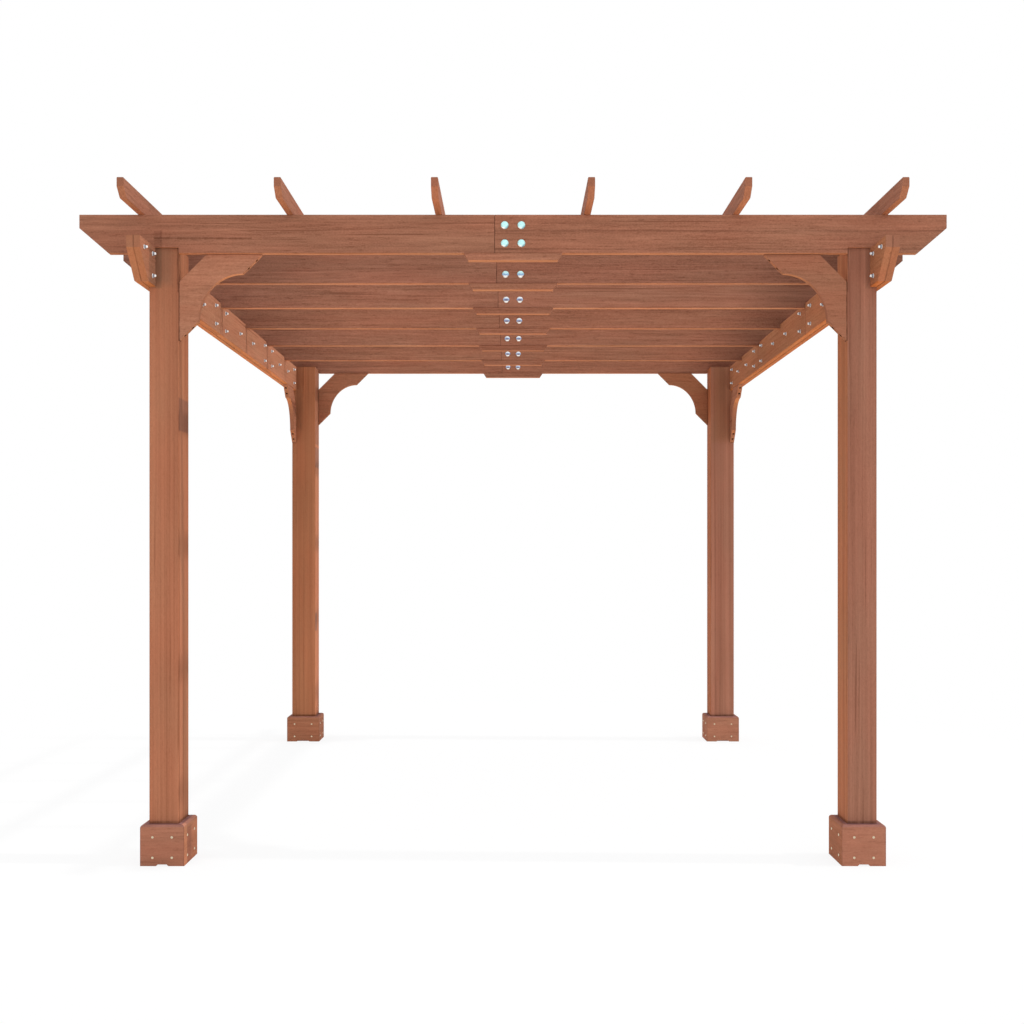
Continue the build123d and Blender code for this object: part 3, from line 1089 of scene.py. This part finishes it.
TRIM_SCREW = [
    (0.0047, 0.0, 0.0), (0.0047, 0.0006, 0.0), (0.0042, 0.0015, 0.0), (0.0032, 0.0021, 0.0),
    (0.0023, 0.0023, 0.0), (0.0021, 0.0022, 0.0017), (0.0018, 0.0006, 0.0015),
]

lap_places, lap_backs = [], []
for number in range(1, rafter_count + 1):
    lo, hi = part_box(f"rafter_{number}_left")
    for sign in (-1, 1):
        for drop in lap_bolt_drops:
            lap_places.append((sign * lap_bolt_x, lo.y, hi.z - drop))
            lap_backs.append((sign * lap_bolt_x, hi.y, hi.z - drop))
make_row("lap_bolt_heads", turned(DOMED_HEAD, 28), lap_places, (0, -1, 0), LAP_BOLT_REFLECTIONS)
make_row("lap_bolt_nuts", turned(LAP_NUT, 24), lap_backs, (0, 1, 0), PLAIN_ZINC)

for side, sign in SIDES.items():
    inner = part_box(f"beam_{side}_inner")
    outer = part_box(f"beam_{side}_outer")
    inner_x = inner[sign < 0].x
    outer_x = outer[sign > 0].x
    spots = [(end * y, inner[1].z - drop) for y, drops in beam_bolts
             for end in (-1, 1) for drop in drops]
    nuts, heads = ([(x, y, z) for y, z in spots] for x in (inner_x, outer_x))
    make_row(f"beam_{side}_nuts", turned(NUT_END, 24), nuts, (-sign, 0, 0), BEAM_NUT)
    make_row(f"beam_{side}_heads", turned(SMALL_HEAD, 24), heads, (sign, 0, 0), PLAIN_ZINC)


def trim_screws(corner):
    """Places and directions of a base trim's screws, four on each of its boards."""
    places, directions = [], []
    for boards, axis in (("faces", 1), ("sides", 0)):
        lo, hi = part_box(f"base_trim_{corner}_{boards}")
        other = 1 - axis
        for sign, face in ((-1, lo[axis]), (1, hi[axis])):
            for place in (lo[other] + trim_screw_inset, hi[other] - trim_screw_inset):
                for height in trim_screw_heights:
                    spot, outward = np.zeros(3), np.zeros(3)
                    spot[axis], spot[other], spot[2] = face, place, height
                    outward[axis] = sign
                    places.append(spot)
                    directions.append(outward)
    return places, directions


for end in ENDS:
    for side in SIDES:
        make_row(f"base_trim_{end}_{side}_screws", turned(TRIM_SCREW, 18),
                 *trim_screws(f"{end}_{side}"), YELLOW_ZINC)


# Floor, light and camera

middle = Vector((0.0, 0.0, 1.2))
floor_half = 14.0
floor_white = 0.80

# Of the floor the camera sees this share lit, fading to none between two distances
lit_share_most = 0.14
lit_share_fade = (2.2, 3.6)


def seen_as_white(tree):
    """1 for what the camera sees, also in reflections and through glass, and 0 for light."""
    path = add(tree, "LightPath").outputs
    seen = reckon(tree, "MAXIMUM", path["Is Camera Ray"], path["Is Glossy Ray"])
    return reckon(tree, "MAXIMUM", seen, path["Is Transmission Ray"])


def make_floor(warmth, glow_share):
    """A level square floor under the posts, white to the camera and softly shaded near them.

    For the camera it is mostly glow, with a share of lit floor near the pergola. For other
    light it is a matt, warm white floor that gives back a little more light than falls on it.
    """
    material, tree = new_material("studio floor")
    place = add(tree, "TexCoord").outputs["Object"]
    away = add(tree, "VectorMath", {0: place}, operation="LENGTH").outputs["Value"]
    lit_share = add(tree, "MapRange", {
        "Value": away, "From Min": lit_share_fade[0], "From Max": lit_share_fade[1],
        "To Min": lit_share_most, "To Max": 0.0,
    }, interpolation_type="SMOOTHSTEP").outputs["Result"]
    glow = add(tree, "Emission", {"Color": WHITE, "Strength": 1.0})
    matt = add(tree, "BsdfDiffuse", {"Color": (floor_white, floor_white, floor_white, 1.0)})
    shown = add(tree, "MixShader", {0: lit_share, 1: glow.outputs[0], 2: matt.outputs[0]})
    warm = add(tree, "BsdfDiffuse", {"Color": (*warmth, 1.0)})
    lift = add(tree, "Emission", {"Color": (*warmth, 1.0), "Strength": glow_share})
    bounce = add(tree, "AddShader", {0: warm.outputs[0], 1: lift.outputs[0]})
    cover(tree, "MixShader", {
        0: seen_as_white(tree), 1: bounce.outputs[0], 2: shown.outputs[0],
    })
    mesh = bpy.data.meshes.new("floor")
    corners = [(x * floor_half, y * floor_half, 0) for x, y in ((-1, -1), (1, -1), (1, 1), (-1, 1))]
    mesh.from_pydata(corners, [], [(0, 1, 2, 3)])
    mesh.materials.append(material)
    new_object("floor", mesh)


def make_world(low, high):
    """A white surround: full white to the camera and in reflections, softer as light.

    As light it is strongest overhead, as under an open sky.
    """
    world = bpy.data.worlds.new("studio")
    bpy.context.scene.world = world
    world.use_nodes = True
    tree = world.node_tree
    tree.nodes.clear()
    rise = split(tree, add(tree, "TexCoord").outputs["Generated"])["Z"]
    rise = span(tree, rise, 0.0, 0.8)
    tint = mix(tree, rise, WHITE, (0.96, 0.98, 1.0, 1.0))
    strength = span(tree, rise, 0.0, 1.0, low, high)
    shown = add(tree, "Background", {"Color": WHITE, "Strength": 1.0})
    light = add(tree, "Background", {"Color": tint, "Strength": strength})
    both = add(tree, "MixShader", {
        0: seen_as_white(tree), 1: light.outputs[0], 2: shown.outputs[0],
    })
    add(tree, "OutputWorld", {"Surface": both.outputs[0]})


def make_light(name, kind, color, power, direction, **settings):
    """A light that shines along a direction and isn't seen in reflections."""
    data = bpy.data.lights.new(name, kind)
    data.color, data.energy = color, power
    for setting, value in settings.items():
        setattr(data, setting, value)
    light = new_object(name, data)
    light.rotation_euler = Vector(direction).to_track_quat("-Z", "Y").to_euler()
    light.visible_glossy = False
    return light


def make_camera():
    """A level camera that looks from the front to the rear, with its picture shifted."""
    data = bpy.data.cameras.new("camera")
    data.sensor_width = sensor_mm
    data.lens = lens_mm
    data.shift_x, data.shift_y = picture_shift
    data.clip_end = view_end
    camera = new_object("camera", data)
    camera.location = eye
    camera.rotation_euler = (math.pi / 2, 0.0, 0.0)
    bpy.context.scene.camera = camera


make_floor((0.90, 0.87, 0.80), 0.12)
make_world(0.25, 1.30)
make_light("key light", "SUN", (1.0, 0.98, 0.95), 1.5, (-0.77, 0.03, -0.64),
           angle=math.radians(1.2))

# A soft square lamp in front, which faces the middle of the pergola
lamp_place = Vector((1.0, -9.0, 2.2))
lamp = make_light("front lamp", "AREA", (1.0, 0.98, 0.96), 110.0, middle - lamp_place,
                  shape="RECTANGLE", size=5.0, size_y=3.0)
lamp.location = lamp_place
lamp.visible_camera = False

make_camera()
bpy.context.scene.view_settings.view_transform = "Standard"
